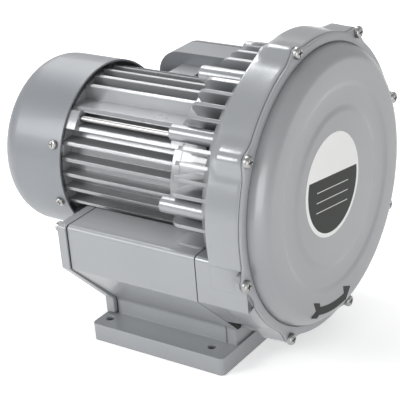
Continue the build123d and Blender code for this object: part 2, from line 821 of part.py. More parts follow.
def bearing(x0, width, bore, outer, ball):
    """Outer ring, inner ring and balls of a deep-groove bearing whose rear face is at x0."""
    pitch = (bore + outer) / 2
    mid = x0 + width / 2
    half_gap = ball * 0.6
    outer_ring = rod(x0, x0 + width, outer) - rod(x0, x0 + width, pitch + half_gap)
    inner_ring = rod(x0, x0 + width, pitch - half_gap) - rod(x0, x0 + width, bore)
    track = revolve(
        turning_plane * Pos(mid, pitch) * Circle(ball + ball_clearance), shaft_axis, 360
    )
    balls = [
        Pos(mid, pitch * cos(radians(a)), shaft_height + pitch * sin(radians(a))) * Sphere(ball)
        for a in [k * 360 / ball_count for k in range(ball_count)]
    ]
    return outer_ring - track, inner_ring - track, balls


def shaft_seal():
    body = rod(seal_rear_x, seal_front_x, seal_outer_radius)
    body -= rod(seal_rear_x, seal_front_x, front_bearing_bore_radius + seal_clearance)
    groove = rod(seal_rear_x, seal_front_x - seal_wall, seal_outer_radius - seal_wall)
    groove -= rod(seal_rear_x, seal_front_x - seal_wall, front_bearing_bore_radius + seal_wall)
    return body - groove


def wave_spring():
    x0 = rear_bearing_rear_x - wave_spring_length
    outer = rear_bearing_outer_radius - hole_clearance
    return rod(x0, rear_bearing_rear_x, outer) - rod(x0, rear_bearing_rear_x, outer - wave_spring_width)


def rear_end_shield():
    body = rod(shield_rear_x, frame_rear_x, shield_radius)
    boss = rear_bearing_outer_radius + shield_boss_wall
    body += rod(frame_rear_x, rear_bearing_front_x, boss)
    body += rod(frame_rear_x, frame_rear_x + spigot_length, frame_bore_radius) - rod(
        frame_rear_x, frame_rear_x + spigot_length, frame_bore_radius - spigot_wall
    )
    for angle in cowl_screw_angles:
        tongue = block(
            shield_rear_x,
            frame_rear_x - 1,
            -cowl_lug_width / 2,
            cowl_lug_width / 2,
            shaft_height + shield_radius - 5,
            shaft_height + cowl_radius,
        )
        tongue &= rod(shield_rear_x, frame_rear_x, cowl_radius - cowl_wall)
        body += around_shaft(tongue, angle - 90)
    for sy in (-1, 1):
        for sz in (-1, 1):
            body += lug(shield_rear_x, sy, sz, lug_reach) & rod(shield_rear_x, frame_rear_x, lug_reach)
    body -= rod(shield_rear_x + shield_web, rear_bearing_front_x, rear_bearing_outer_radius)
    body -= rod(shield_rear_x, shield_rear_x + shield_web, rear_bearing_bore_radius + 2)
    for y, z in tie_bolt_places:
        body -= rod(shield_rear_x, frame_rear_x, m5[0] + hole_clearance, y, z)
    for angle in cowl_screw_angles:
        hole = Pos(shield_mid_x, 0, shaft_height + cowl_radius) * Cylinder(
            m4[0], 2 * cowl_screw_length
        )
        body -= around_shaft(hole, angle - 90)
    return body


def cooling_fan():
    disc = rod(fan_front_x - fan_disc_thickness, fan_front_x, fan_radius)
    hub = rod(fan_hub_rear_x, fan_front_x, fan_hub_radius)
    outline = Polyline(
        (fan_front_x - 1, fan_hub_radius - 1),
        (fan_front_x - 1, fan_radius),
        (fan_front_x - fan_width * 0.7, fan_radius),
        (fan_front_x - fan_width, fan_radius * 0.75),
        (fan_hub_rear_x + 2, fan_hub_radius - 1),
        close=True,
    )
    blade = extrude(turning_plane * make_face(outline), fan_blade_thickness / 2, both=True)
    blades = [around_shaft(blade, k * 360 / fan_blade_count) for k in range(fan_blade_count)]
    return disc + hub + blades - rod(fan_hub_rear_x, fan_front_x, fan_seat_radius)


def fan_clip():
    x0 = fan_hub_rear_x - fan_clip_thickness
    bore = fan_seat_radius - fan_clip_depth
    ring = rod(x0, fan_hub_rear_x, bore + fan_clip_wall) - rod(x0, fan_hub_rear_x, bore)
    return ring - block(
        x0, fan_hub_rear_x, -fan_clip_gap / 2, fan_clip_gap / 2, shaft_height, shaft_height + 2 * fan_hub_radius
    )


def fan_cowl():
    inner_corner = cowl_corner_radius - cowl_wall
    body = turned(
        [
            (cowl_front_x, cowl_radius),
            (cowl_rear_x, cowl_radius),
            (cowl_rear_x, 0),
            (cowl_front_x, 0),
        ],
        [0, cowl_corner_radius, 0, 0],
    ) - turned(
        [
            (cowl_front_x, cowl_radius - cowl_wall),
            (cowl_rear_x + cowl_wall, cowl_radius - cowl_wall),
            (cowl_rear_x + cowl_wall, 0),
            (cowl_front_x, 0),
        ],
        [0, inner_corner, 0, 0],
    )
    for radius in grille_rings:
        bridge = degrees(grille_bridge / radius)
        for k in range(grille_slots_per_ring):
            start = k * 360 / grille_slots_per_ring
            body -= turned(
                [
                    (cowl_rear_x, radius - grille_slot_width / 2),
                    (cowl_rear_x, radius + grille_slot_width / 2),
                    (cowl_rear_x + cowl_wall, radius + grille_slot_width / 2),
                    (cowl_rear_x + cowl_wall, radius - grille_slot_width / 2),
                ],
                sweep=360 / grille_slots_per_ring - bridge,
                start=start,
            )
    for angle in cowl_screw_angles:
        hole = Pos(shield_mid_x, 0, shaft_height + cowl_radius) * Cylinder(m4[0] + hole_clearance, 10)
        body -= around_shaft(hole, angle - 90)
    return body


def cowl_screws():
    screw = Pos(shield_mid_x, 0, shaft_height + cowl_radius) * pan_screw(m4, cowl_screw_length)
    return [around_shaft(screw, angle - 90) for angle in cowl_screw_angles]


def tie_bolts():
    length = drum_rear_x + lug_length + tie_bolt_engagement - shield_rear_x
    bolt = cap_screw(m5_cap, length)
    return [facing_rear(bolt, shield_rear_x, y, z) for y, z in tie_bolt_places]


# ---------------------------------------------------------------- base
def trough():
    return rod(end_plate_rear_x, block_rear_x, trough_radius)


def base_body():
    section = base_outline(box_edge_radius)
    below = block(base_rear_x, casing_front_x, -box_half_width, box_half_width, 0, chamfer_z)
    body = across(base_rear_x, base_front_x, section) - below
    body += across(base_rear_x, pedestal_front_x, section) & below
    body -= trough()
    for side in (-1, 1):
        face = side * pedestal_half_width
        body -= block(
            pedestal_seam_x, pedestal_seam_x + seam_width, face - seam_depth, face + seam_depth,
            foot_thickness, chamfer_z + seam_depth,
        )
    foot = block(foot_rear_x, foot_front_x, -foot_half_width, foot_half_width, 0, foot_thickness)
    body += fillet(foot.edges().filter_by(Axis.Z), foot_corner_radius)
    for side in (-1, 1):
        body -= rod(base_rear_x, base_front_x, silencer_radius, side * duct_y, -duct_drop)
        pad = Pos(base_front_x - pad_length / 2, side * (box_half_width - pad_inset)) * RectangleRounded(
            pad_length, pad_width, pad_corner_radius
        )
        body += extrude(Plane.XY.offset(box_top_z) * pad, pad_height)
    core = block(
        base_rear_x + core_end_wall, pedestal_front_x - core_end_wall,
        -core_half_width, core_half_width, 0, core_height,
    )
    body -= fillet(core.edges().filter_by(Axis.X).group_by(Axis.Z)[-1], core_corner_radius)
    for x, y in foot_hole_places:
        body -= upright(x, y, -1, foot_thickness + 1, foot_hole_radius)
    for y, z in base_screw_places:
        body -= rod(base_rear_x, base_front_x, m5[0] + hole_clearance, y, z - shaft_height)
    return body


def bored_section(body, x0, x1, port):
    """Cut the trough, the two round ports and the screw holes through a plate or gasket."""
    body -= trough()
    for side in (-1, 1):
        body -= rod(x0, x1, port, side * duct_y, -duct_drop)
    for y, z in base_screw_places:
        body -= rod(x0, x1, m5[0] + hole_clearance, y, z - shaft_height)
    return body


def gasket_section(x0, x1, bottom_z, port):
    body = across(x0, x1, base_outline(box_edge_radius))
    body -= block(x0, x1, -box_half_width, box_half_width, 0, bottom_z)
    return bored_section(body, x0, x1, port)


def port_plate():
    x0, x1 = end_plate_rear_x, end_gasket_rear_x
    wide = box_half_width + end_plate_step
    half = [
        (end_plate_leg_half_width, foot_thickness + end_plate_gap),
        (end_plate_leg_half_width, end_plate_leg_top_z),
        (wide, box_bottom_z),
        (wide, box_top_z),
    ]
    points = half + [(-y, z) for y, z in reversed(half)]
    radii = [0, box_edge_radius, box_edge_radius, box_edge_radius]
    outline = make_face(FilletPolyline(*points, radius=radii + radii[::-1], close=True))
    return bored_section(across(x0, x1, outline), x0, x1, port_radius)


def silencer(side):
    x0, x1, y = silencer_rear_x, silencer_front_x, side * duct_y
    bore = silencer_radius - silencer_wall
    return rod(x0, x1, silencer_radius, y, -duct_drop) - rod(x0, x1, bore, y, -duct_drop)


def base_screws():
    screw = cap_screw(m5_cap, block_rear_x + base_screw_engagement - end_plate_rear_x)
    return [facing_rear(screw, end_plate_rear_x, y, z - shaft_height) for y, z in base_screw_places]


# ---------------------------------------------------------------- terminal and capacitor box
def box_profile(inset):
    """Side view of the terminal box: one large rounded rear top corner, the others small."""
    x0, x1 = box_rear_x + inset, box_front_x - inset
    z0, z1 = box_floor_z + inset, box_roof_z - inset
    small = max(terminal_small_radius - inset, 0.5)
    line = FilletPolyline(
        (x0, z0), (x1, z0), (x1, z1), (x0, z1),
        radius=[small, small, small, terminal_corner_radius - inset],
        close=True,
    )
    return make_face(line)


def box_slab(y0, y1, inset):
    plane = Plane(origin=(0, y0, 0), x_dir=(1, 0, 0), z_dir=(0, -1, 0))
    return extrude(plane * box_profile(inset), -(y1 - y0))


def terminal_box():
    body = box_slab(box_inner_y, box_open_y, 0)
    body -= box_slab(box_inner_y + terminal_wall, box_open_y, terminal_wall)
    for x, z in lid_screw_places:
        body += post_y(x, z, box_inner_y + 1, box_open_y, lid_post_radius)
        body -= post_y(x, z, lid_back_y - lid_screw_length, box_open_y, m4[0])
    body -= post_y(
        box_mid_x, saddle_z + saddle_height / 2, box_inner_y, box_inner_y + terminal_wall, wire_hole_radius
    )
    return body - upright(gland_x, gland_y, box_floor_z, box_floor_z + terminal_wall, gland_thread)


def terminal_gasket():
    body = box_slab(box_open_y, lid_back_y, 0) - box_slab(box_open_y, lid_back_y, gasket_width)
    for x, z in lid_screw_places:
        body += post_y(x, z, box_open_y, lid_back_y, lid_post_radius)
        body -= post_y(x, z, box_open_y, lid_back_y, m4[0])
    return body


def terminal_lid():
    body = box_slab(lid_back_y, box_outer_y, 0)
    body = fillet(body.faces().sort_by(Axis.Y)[-1].edges(), lid_edge_radius)
    body -= box_slab(lid_back_y, box_outer_y - terminal_wall, terminal_wall)
    for x, z in lid_screw_places:
        body += post_y(x, z, lid_back_y, box_outer_y - 1, lid_post_radius)
        body -= post_y(x, z, lid_back_y, box_outer_y, m4[0] + hole_clearance)
    return body


def lid_screws():
    screw = pan_screw(m4, lid_screw_length)
    return [Pos(x, box_outer_y, z) * Rot(-90, 0, 0) * screw for x, z in lid_screw_places]


def along_capacitor(x0, x1, radius):
    """Cylinder along X on the capacitor's own axis."""
    return rod(x0, x1, radius, capacitor_y, capacitor_z - shaft_height)


def capacitor():
    x0 = box_mid_x - capacitor_length / 2 + capacitor_shift
    x1 = x0 + capacitor_length
    body = along_capacitor(x0, x1, capacitor_radius)
    body = fillet(body.edges(), capacitor_end_radius)
    for side in (-1, 1):
        z = capacitor_z + side * capacitor_tab_offset
        body += block(
            x1, x1 + capacitor_tab_length,
            capacitor_y - capacitor_tab_width / 2, capacitor_y + capacitor_tab_width / 2,
            z - capacitor_tab_thickness / 2, z + capacitor_tab_thickness / 2,
        )
    return body


def capacitor_clip():
    x0 = box_mid_x - capacitor_clip_length / 2 + capacitor_clip_shift
    x1 = x0 + capacitor_clip_length
    low, high = capacitor_z - capacitor_clip_half_width, capacitor_z + capacitor_clip_half_width
    body = along_capacitor(x0, x1, capacitor_radius + capacitor_clip_wall)
    body += block(x0, x1, box_inner_y + terminal_wall, capacitor_y, low, high)
    body -= along_capacitor(x0, x1, capacitor_radius)
    return body - block(x0, x1, capacitor_y, box_outer_y, low, high)


def terminal_block():
    x0 = box_mid_x + terminal_block_shift
    y0 = box_inner_y + terminal_block_inset
    z0 = box_floor_z + terminal_wall
    z1 = z0 + terminal_block_height
    y1 = y0 + terminal_block_width
    body = block(x0, x0 + terminal_block_length, y0, y1, z0, z1)
    first = x0 + (terminal_block_length - (terminal_count - 1) * terminal_pitch) / 2
    for x in [first + k * terminal_pitch for k in range(terminal_count)]:
        half = terminal_pocket / 2
        body -= block(x - half, x + half, y0 + 2, y1 - 2, z1 - terminal_pocket_depth, z1)
        body += upright(x, (y0 + y1) / 2, z1 - terminal_pocket_depth - 1, z1 - 0.5, terminal_screw_radius)
    return body


def cable_gland():
    z = box_floor_z
    inner_z = z + terminal_wall + gland_inner_length
    outer_z = z - gland_flange_length - gland_thread_length
    body = upright(gland_x, gland_y, z - gland_flange_length, z, gland_radius)
    body += upright(gland_x, gland_y, outer_z, inner_z, gland_thread)
    return body - upright(gland_x, gland_y, outer_z, inner_z, gland_bore_radius)


def gland_nut():
    top = box_floor_z - gland_flange_length
    bottom = top - gland_nut_length
    nut = Pos(gland_x, gland_y, bottom) * extrude(hexagon(2 * gland_radius), gland_nut_length)
    nut -= upright(gland_x, gland_y, top - gland_thread_length, top, gland_thread)
    return nut - upright(gland_x, gland_y, bottom, top, gland_bore_radius)


# ---------------------------------------------------------------- build
os.makedirs("parts", exist_ok=True)
save("front_cover", front_cover())
save("cover_gasket", cover_gasket())
cover_screw = pan_screw(m5, cover_screw_length)
save("cover_screws", *[facing_front(cover_screw, cover_face_x, y, z) for y, z in ear_places])
save("pump_casing", pump_casing())
save("impeller", impeller())
save("impeller_key", impeller_key())
save("impeller_washer", impeller_washer())
save("impeller_nut", impeller_nut())
save("shaft_seal", shaft_seal())
save("motor_frame", motor_frame())
save("stator_core", stator_core())
save(
    "stator_windings",
    winding(stator_rear_x - winding_overhang, stator_rear_x),
    winding(stator_front_x, stator_front_x + winding_overhang),
)
save("rotor_core", rotor_core())
save("shaft", shaft())
front_outer, front_inner, front_balls = bearing(
    front_bearing_rear_x, front_bearing_width, front_bearing_bore_radius,
    front_bearing_outer_radius, front_bearing_ball_radius,
)
save("front_bearing_outer_ring", front_outer)
save("front_bearing_inner_ring", front_inner)
save("front_bearing_balls", *front_balls)
rear_outer, rear_inner, rear_balls = bearing(
    rear_bearing_rear_x, rear_bearing_width, rear_bearing_bore_radius,
    rear_bearing_outer_radius, rear_bearing_ball_radius,
)
save("rear_bearing_outer_ring", rear_outer)
save("rear_bearing_inner_ring", rear_inner)
save("rear_bearing_balls", *rear_balls)
save("wave_spring", wave_spring())
save("rear_end_shield", rear_end_shield())
save("tie_bolts", *tie_bolts())
save("cooling_fan", cooling_fan())
save("fan_clip", fan_clip())
save("fan_cowl", fan_cowl())
save("cowl_screws", *cowl_screws())
save("base_body", base_body())
save("base_front_gasket", gasket_section(base_front_x, block_rear_x, chamfer_z + 1, duct_radius + 1.5))
save(
    "port_plate_gasket",
    gasket_section(end_gasket_rear_x, base_rear_x, foot_thickness + end_plate_gap, silencer_radius),
)
save("port_plate", port_plate())
save("base_screws", *base_screws())
save("inlet_silencer", silencer(-1))
save("outlet_silencer", silencer(1))
save("terminal_box", terminal_box())
save("terminal_box_gasket", terminal_gasket())
save("terminal_box_lid", terminal_lid())
save("lid_screws", *lid_screws())
save("terminal_block", terminal_block())
save("capacitor", capacitor())
save("capacitor_clip", capacitor_clip())
save("cable_gland", cable_gland())
save("gland_nut", gland_nut())
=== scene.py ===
from math import acos, atan2, cos, hypot, pi, radians, sin, sqrt

import bpy
from mathutils import Matrix, Vector


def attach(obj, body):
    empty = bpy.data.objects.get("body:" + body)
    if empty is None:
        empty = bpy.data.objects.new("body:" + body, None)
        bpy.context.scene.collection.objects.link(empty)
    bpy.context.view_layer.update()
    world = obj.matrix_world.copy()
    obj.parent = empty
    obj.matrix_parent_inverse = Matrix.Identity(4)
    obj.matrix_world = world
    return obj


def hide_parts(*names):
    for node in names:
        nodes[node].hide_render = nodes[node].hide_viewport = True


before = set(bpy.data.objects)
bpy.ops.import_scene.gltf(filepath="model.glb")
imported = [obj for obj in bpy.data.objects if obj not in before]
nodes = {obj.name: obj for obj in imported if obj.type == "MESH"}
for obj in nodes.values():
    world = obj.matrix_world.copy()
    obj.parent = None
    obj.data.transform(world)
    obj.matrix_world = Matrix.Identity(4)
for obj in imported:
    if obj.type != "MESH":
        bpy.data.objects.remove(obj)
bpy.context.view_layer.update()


# ---- Camera -----------------------------------------------------------------------------------
# A long lens that looks down on the blower from its front left corner. It is rolled a little, as a
# hand-held camera is.
view_azimuth = radians(35.9)
view_elevation = radians(24.5)
view_roll = radians(-4.7)
view_target = Vector((-0.001, 0.0, 0.1042))
view_distance = 1.1218
lens_mm = 121.2

toward_camera = Vector((
    sin(view_azimuth) * cos(view_elevation),
    -cos(view_azimuth) * cos(view_elevation),
    sin(view_elevation),
))
level_right = Vector((cos(view_azimuth), sin(view_azimuth), 0.0))
level_up = toward_camera.cross(level_right)
right = level_right * cos(view_roll) + level_up * sin(view_roll)
up = level_up * cos(view_roll) - level_right * sin(view_roll)
camera_data = bpy.data.cameras.new("camera")
camera_data.lens = lens_mm
camera_data.sensor_width = 36.0
camera_data.clip_start = 0.05
camera = bpy.data.objects.new("camera", camera_data)
bpy.context.scene.collection.objects.link(camera)
place = Matrix((right, up, toward_camera)).transposed().to_4x4()
place.translation = view_target + toward_camera * view_distance
camera.matrix_world = place
bpy.context.scene.camera = camera


# ---- Studio floor -----------------------------------------------------------------------------
# A white paper sweep under the blower. Camera and mirror rays see it glow, and every other ray sees
# plain paper, which keeps the soft shadow.
floor_size = 6.0
floor_drop = 0.0004
paper_glow = 0.46

bpy.ops.object.select_all(action="DESELECT")
bpy.ops.mesh.primitive_plane_add(size=floor_size, location=(0.0, 0.0, -floor_drop))
floor = bpy.context.object
floor.name = "studio_floor"
bpy.ops.object.transform_apply(location=True)


def new_material(name):
    """A fresh node material; returns it with its tree and its shader."""
    material = bpy.data.materials.new(name)
    material.use_nodes = True
    tree = material.node_tree
    return material, tree, tree.nodes["Principled BSDF"]


def math_node(tree, operation, *values):
    """A math node fed by sockets or numbers; returns its output socket."""
    node = tree.nodes.new("ShaderNodeMath")
    node.operation = operation
    for socket, value in zip(node.inputs, values):
        if isinstance(value, (int, float)):
            socket.default_value = value
        else:
            tree.links.new(value, socket)
    return node.outputs[0]


paper, tree, shader = new_material("studio_paper")
shader.inputs["Base Color"].default_value = (0.93, 0.93, 0.93, 1.0)
shader.inputs["Roughness"].default_value = 0.9
shader.inputs["Specular IOR Level"].default_value = 0.0
shader.inputs["Emission Color"].default_value = (1.0, 1.0, 1.0, 1.0)
light_path = tree.nodes.new("ShaderNodeLightPath")
seen = math_node(tree, "MAXIMUM", light_path.outputs["Is Camera Ray"], light_path.outputs["Is Glossy Ray"])
tree.links.new(math_node(tree, "MULTIPLY", seen, paper_glow), shader.inputs["Emission Strength"])
floor.data.materials.append(paper)


# ---- Studio light -----------------------------------------------------------------------------
# Softboxes to the left, in front, above and behind, in a pale room. The one on the left draws the
# bright bands along the bosses and fins, and the one in front fills the cover.
room_level = 0.53
blower_middle = Vector((0.0, 0.0, 0.14))
softboxes = [
    ("key_softbox", (-0.72, -0.98, 0.70), (0.55, 0.5), 7.5),
    ("front_softbox", (1.15, -1.0, 0.35), (0.7, 0.7), 6.5),
    ("top_softbox", (-0.55, 0.35, 1.15), (0.5, 0.3), 4.5),
    ("rear_softbox", (-1.0, 0.9, 1.0), (0.8, 0.6), 4.0),
]

world = bpy.data.worlds.new("studio_room")
bpy.context.scene.world = world
world.use_nodes = True
tree = world.node_tree
light_path = tree.nodes.new("ShaderNodeLightPath")
level = tree.nodes.new("ShaderNodeMapRange")
level.inputs["To Min"].default_value = room_level
level.inputs["To Max"].default_value = 1.0
tree.links.new(light_path.outputs["Is Camera Ray"], level.inputs["Value"])
tree.links.new(level.outputs["Result"], tree.nodes["Background"].inputs["Strength"])
tree.nodes["Background"].inputs["Color"].default_value = (1.0, 1.0, 1.0, 1.0)
for name, location, size, power in softboxes:
    lamp = bpy.data.lights.new(name, "AREA")
    lamp.shape = "RECTANGLE"
    lamp.size, lamp.size_y = size
    lamp.energy = power
    box = bpy.data.objects.new(name, lamp)
    box.location = location
    box.rotation_mode = "QUATERNION"
    box.rotation_quaternion = (blower_middle - Vector(location)).to_track_quat("-Z", "Y")
    bpy.context.scene.collection.objects.link(box)
bpy.context.scene.view_settings.view_transform = "Standard"


# ---- Pump casing ------------------------------------------------------------------------------
# The ring, back wall, cooling ribs and pillars are one aluminium die casting, sprayed with glossy
# grey enamel. The enamel flows a little over the cast skin and rounds every edge.
def uneven_finish_with_painted_shade():
    """Group: colour with soil in patches and painted shade in hollows, uneven roughness, and a rounded,
    grainy, wavy normal.
    """
    group = bpy.data.node_groups.new("uneven_finish_with_painted_shade", "ShaderNodeTree")
    for label, kind, value in [
        ("Colour", "NodeSocketColor", (0.5, 0.5, 0.5, 1.0)),
        # The second colour is the colour of the soil patches and also of the painted shade in hollows; the
        # input after the soil amount sets how much shade is painted into hollows.
        ("Soil", "NodeSocketColor", (0.3, 0.3, 0.3, 1.0)),
        ("Soil Amount", "NodeSocketFloat", 0.15),
        ("Hollow Depth", "NodeSocketFloat", 0.3),
        ("Roughness", "NodeSocketFloat", 0.4),
        ("Roughness Spread", "NodeSocketFloat", 0.1),
        ("Edge Radius", "NodeSocketFloat", 0.0008),
        ("Grain Scale", "NodeSocketFloat", 400.0),
        ("Grain Height", "NodeSocketFloat", 0.2),
        ("Wave Height", "NodeSocketFloat", 0.1),
    ]:
        group.interface.new_socket(label, in_out="INPUT", socket_type=kind).default_value = value
    for label, kind in [("Colour", "NodeSocketColor"), ("Roughness", "NodeSocketFloat"),
                        ("Normal", "NodeSocketVector")]:
        group.interface.new_socket(label, in_out="OUTPUT", socket_type=kind)
    given = group.nodes.new("NodeGroupInput")
    result = group.nodes.new("NodeGroupOutput")
    coordinates = group.nodes.new("ShaderNodeTexCoord").outputs["Object"]

    def noise(scale, detail):
        node = group.nodes.new("ShaderNodeTexNoise")
        node.inputs["Detail"].default_value = detail
        group.links.new(coordinates, node.inputs["Vector"])
        if isinstance(scale, float):
            node.inputs["Scale"].default_value = scale
        else:
            group.links.new(scale, node.inputs["Scale"])
        return node.outputs["Fac"]

    def mixed(factor, first, second):
        node = group.nodes.new("ShaderNodeMix")
        node.data_type = "RGBA"
        group.links.new(factor, node.inputs["Factor"])
        group.links.new(first, node.inputs["A"])
        group.links.new(second, node.inputs["B"])
        return node.outputs["Result"]

    def bump(height, strength, distance, normal):
        node = group.nodes.new("ShaderNodeBump")
        node.inputs["Distance"].default_value = distance
        group.links.new(height, node.inputs["Height"])
        group.links.new(strength, node.inputs["Strength"])
        group.links.new(normal, node.inputs["Normal"])
        return node.outputs["Normal"]

    cloud = noise(14.0, 5.0)
    patches = group.nodes.new("ShaderNodeMapRange")
    patches.inputs["From Min"].default_value = 0.35
    patches.inputs["From Max"].default_value = 0.75
    group.links.new(cloud, patches.inputs["Value"])
    # Painted shade: ambient occlusion darkens the colour in hollows, crevices and gaps between parts, where
    # shade falls.
    hollow_occlusion = group.nodes.new("ShaderNodeAmbientOcclusion")
    hollow_occlusion.samples = 6
    hollow_occlusion.inputs["Distance"].default_value = 0.014
    hollow_shade_mask = math_node(group, "SUBTRACT", 1.0, hollow_occlusion.outputs["AO"])
    # The noise patches are real soil, and the occlusion term added to them is painted shade.
    soiled = math_node(group, "MULTIPLY", patches.outputs["Result"], given.outputs["Soil Amount"])
    hollow_shade = math_node(group, "MULTIPLY", hollow_shade_mask, given.outputs["Hollow Depth"])
    soil_and_shade_factor = math_node(group, "MINIMUM", math_node(group, "ADD", soiled, hollow_shade), 1.0)
    group.links.new(mixed(soil_and_shade_factor, given.outputs["Colour"], given.outputs["Soil"]), result.inputs["Colour"])
    uneven = math_node(group, "SUBTRACT", cloud, 0.5)
    rough = math_node(group, "MULTIPLY_ADD", uneven, given.outputs["Roughness Spread"],
                      given.outputs["Roughness"])
    group.links.new(rough, result.inputs["Roughness"])
    rounded = group.nodes.new("ShaderNodeBevel")
    rounded.samples = 6
    group.links.new(given.outputs["Edge Radius"], rounded.inputs["Radius"])
    grained = bump(noise(given.outputs["Grain Scale"], 2.0), given.outputs["Grain Height"], 0.0002,
                   rounded.outputs["Normal"])
    waved = bump(noise(45.0, 1.0), given.outputs["Wave Height"], 0.0006, grained)
    group.links.new(waved, result.inputs["Normal"])
    return group


uneven_surface_and_shade = uneven_finish_with_painted_shade()


def finish(name, colour, metallic=0.0, coat=0.0, **settings):
    """A material on the shared finish group, with soil patches and painted shade in its hollows; settings
    name the group's inputs with underscores.
    """
    material, tree, shader = new_material(name)
    group = tree.nodes.new("ShaderNodeGroup")
    group.node_tree = uneven_surface_and_shade
    # By default the second colour is a darker copy of the colour, used for the soil and for the painted
    # shade in hollows, which the group paints at 0.3 unless a setting changes it.
    settings.setdefault("soil", [0.45 * c for c in colour])
    for label, value in dict(settings, colour=colour).items():
        value = (*value, 1.0) if isinstance(value, (list, tuple)) else value
        group.inputs[label.replace("_", " ").title()].default_value = value
    for label in ("Colour", "Roughness", "Normal"):
        tree.links.new(group.outputs[label], shader.inputs["Base Color" if label == "Colour" else label])
    shader.inputs["Metallic"].default_value = metallic
    shader.inputs["Coat Weight"].default_value = coat
    shader.inputs["Coat Roughness"].default_value = 0.1
    return material


def dress(material, *names):
    """Give solids of the frame this finish in place of their plain one."""
    for name in names:
        materials = nodes[name].data.materials
        materials.clear()
        materials.append(material)


# The casing's colour carries painted shade in its hollows and gaps, between ribs, pillars and bosses.
casing_enamel = finish("casing_enamel", (0.33, 0.342, 0.358), metallic=0.25, coat=0.6, roughness=0.3,
                       roughness_spread=0.12, edge_radius=0.0012, grain_scale=900.0, grain_height=0.22,
                       wave_height=0.3, soil_amount=0.1, hollow_depth=0.35)
# The ring round the chamber runs forward to the cover. A boss for each cover screw swells out of
# it towards the front, and beside the duct block it is flush with the block's flat sides.
turns = 1080
shaft_z = 0.140
ring_rear_x = 0.0880
ring_front_x = 0.1154
ring_radius = 0.1202
ring_draft = 0.0011
ring_edge = 0.0006
core_radius = 0.1176
core_inset = 0.0030
hair = 0.0001
merge_distance = 0.000001
edge_step = 0.3
fade_draft = 0.3
chamber_front_x = 0.1081
front_land_radius = 0.1100
boss_angles = [radians(15 + 45 * k) for k in range(8)]
boss_circle = 0.1186
boss_radius = 0.0078
boss_blend = 0.0300
boss_fade = 0.0080
rear_share = 0.35
fade_steps = 8
ear_rear_x = 0.1114
block_step_x = 0.0839
block_side_y = 0.1123
block_top = -0.0208
block_bottom = -0.0592


def boss_rise(angle):
    """How far the outline stands beyond the ring at an angle, over the nearest screw boss."""
    away = min(abs((angle - a + pi) % (2 * pi) - pi) for a in boss_angles)
    blend_circle = ring_radius + boss_blend
    reach = boss_radius + boss_blend
    blend_angle = acos((blend_circle ** 2 + boss_circle ** 2 - reach ** 2)
                       / (2 * blend_circle * boss_circle))
    if away >= blend_angle:
        return 0.0
    share = boss_radius / reach
    meet_across = share * blend_circle * sin(blend_angle)
    meet_along = boss_circle + share * (blend_circle * cos(blend_angle) - boss_circle)
    if away < atan2(meet_across, meet_along):
        crown = sqrt(boss_radius ** 2 - (boss_circle * sin(away)) ** 2)
        return boss_circle * cos(away) + crown - ring_radius
    aside = blend_angle - away
    cove = sqrt(boss_blend ** 2 - (blend_circle * sin(aside)) ** 2)
    return blend_circle * cos(aside) - cove - ring_radius


def turned_form(name, profile, hollow):
    """A form turned about the shaft from (x, radius, boss share) points, with its bosses pushed out."""
    bpy.ops.object.select_all(action="DESELECT")
    bpy.ops.mesh.primitive_circle_add(vertices=turns, radius=profile[0][1], rotation=(0.0, pi / 2, 0.0),
                                      location=(profile[0][0], 0.0, shaft_z))
    form = bpy.context.object
    form.name = name
    bpy.ops.object.transform_apply(location=True, rotation=True, scale=True)
    bpy.ops.object.mode_set(mode="EDIT")
    bpy.ops.mesh.select_mode(type="EDGE")
    bpy.ops.mesh.select_all(action="SELECT")
    for (x0, r0, _), (x1, r1, _) in zip(profile, profile[1:]):
        bpy.ops.mesh.extrude_edges_move(TRANSFORM_OT_translate={"value": (x1 - x0, 0.0, 0.0)})
        bpy.ops.transform.resize(value=(1.0, r1 / r0, r1 / r0), center_override=(x1, 0.0, shaft_z))
    bpy.ops.mesh.select_all(action="DESELECT")
    bpy.ops.mesh.select_non_manifold()
    if hollow:
        bpy.ops.mesh.bridge_edge_loops()
    else:
        bpy.ops.mesh.fill_holes(sides=0)
    bpy.ops.mesh.select_all(action="SELECT")
    bpy.ops.mesh.normals_make_consistent(inside=False)
    bpy.ops.object.mode_set(mode="OBJECT")
    points = form.data.vertices
    for k in range(turns):
        angle = atan2(points[k].co.z - shaft_z, points[k].co.y)
        rise = boss_rise(angle)
        for row, (_, radius, share) in enumerate(profile):
            if share:
                point = points[row * turns + k]
                point.co.y = (radius + share * rise) * cos(angle)
                point.co.z = shaft_z + (radius + share * rise) * sin(angle)
    return form


def smooth(part, angle=30.0):
    """Shade a finished piece smooth, but for edges sharper than the angle."""
    bpy.ops.object.select_all(action="DESELECT")
    part.select_set(True)
    bpy.context.view_layer.objects.active = part
    bpy.ops.object.shade_smooth_by_angle(angle=radians(angle))


ring_profile = [
    (ring_front_x, core_radius, 0.0),
    (ring_rear_x, core_radius, 0.0),
    (ring_rear_x, ring_radius - ring_edge, rear_share),
    (ring_rear_x + edge_step * ring_edge, ring_radius - edge_step * ring_edge, rear_share),
    (ring_rear_x + ring_edge, ring_radius, rear_share),
]
for k in range(1, fade_steps + 1):
    t = k / fade_steps
    ring_profile.append((ring_rear_x + ring_edge + boss_fade * t, ring_radius - fade_draft * ring_draft * t,
                         rear_share + (1 - rear_share) * t * t * (3 - 2 * t)))
front_radius = ring_radius - ring_draft
ring_profile += [
    (ear_rear_x - hair, front_radius, 1.0),
    (ear_rear_x + hair, front_radius, 1.0),
    (ring_front_x - ring_edge, front_radius, 1.0),
    (ring_front_x - edge_step * ring_edge, front_radius - edge_step * ring_edge, 1.0),
    (ring_front_x, front_radius - ring_edge, 1.0),
]
casing_ring = turned_form("casing_ring", ring_profile, hollow=True)
